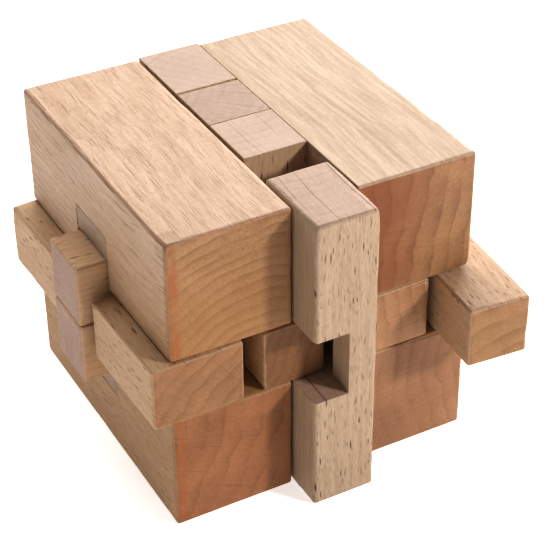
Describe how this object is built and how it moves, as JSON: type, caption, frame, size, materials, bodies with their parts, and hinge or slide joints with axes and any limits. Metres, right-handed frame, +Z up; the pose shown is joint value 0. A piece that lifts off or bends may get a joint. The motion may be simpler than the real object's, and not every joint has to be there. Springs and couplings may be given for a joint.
{
  "type": "wooden burr puzzle",
  "caption": "Cube-shaped interlocking puzzle of plain beech: corner blocks, notched uprights, depthwise bars, cross bars and a key bar, shown half opened.",
  "frame": {"origin": "centre of the cube's base, on the bottom end of the front middle upright", "axes": "+Z up, +Y from the front upright towards the back, +X towards the key bar"},
  "size_m": [0.0898, 0.088, 0.072],
  "materials": {
    "block_beech": "satin",
    "upright_beech": "satin",
    "bar_beech": "satin",
    "key_beech": "satin"
  },
  "bodies": {
    "cube": {"upper_left_block": "block_beech", "upper_right_block": "block_beech", "lower_left_block": "block_beech", "lower_right_block": "block_beech", "front_middle_upright": "upright_beech", "back_middle_upright": "upright_beech", "inner_left_bar": "bar_beech", "upper_locking_strip": "bar_beech", "lower_locking_strip": "bar_beech"},
    "front_upright": {"front_upright": "upright_beech"},
    "back_upright": {"back_upright": "upright_beech"},
    "upper_cross_bar": {"upper_cross_bar": "bar_beech"},
    "lower_cross_bar": {"lower_cross_bar": "bar_beech"},
    "left_bar": {"left_bar": "bar_beech"},
    "inner_right_bar": {"inner_right_bar": "bar_beech"},
    "key_bar": {"key_bar": "key_beech"}
  },
  "joints": [
    {"name": "front_upright_slide", "type": "slide", "parent": "cube", "child": "front_upright", "axis": [0, -1, 0], "range_m": [-0.0087, 0.01]},
    {"name": "back_upright_slide", "type": "slide", "parent": "cube", "child": "back_upright", "axis": [0, 1, 0], "range_m": [-0.0005, 0.016]},
    {"name": "upper_cross_bar_slide", "type": "slide", "parent": "cube", "child": "upper_cross_bar", "axis": [-1, 0, 0], "range_m": [-0.007, 0.0004]},
    {"name": "lower_cross_bar_slide", "type": "slide", "parent": "cube", "child": "lower_cross_bar", "axis": [-1, 0, 0], "range_m": [-0.007, 0.0004]},
    {"name": "left_bar_slide", "type": "slide", "parent": "cube", "child": "left_bar", "axis": [-1, 0, 0], "range_m": [-0.0045, 0.0004]},
    {"name": "inner_right_bar_slide", "type": "slide", "parent": "cube", "child": "inner_right_bar", "axis": [1, 0, 0], "range_m": [-0.0049, 0.014]},
    {"name": "key_bar_slide", "type": "slide", "parent": "inner_right_bar", "child": "key_bar", "axis": [-0.0772, -0.997, 0], "range_m": [-0.0148, 0.02]}
  ],
  "couplings": [
    {"joint": "lower_cross_bar_slide", "follows": "upper_cross_bar_slide", "ratio": 1},
    {"joint": "left_bar_slide", "follows": "upper_cross_bar_slide", "ratio": 0.62}
  ]
}
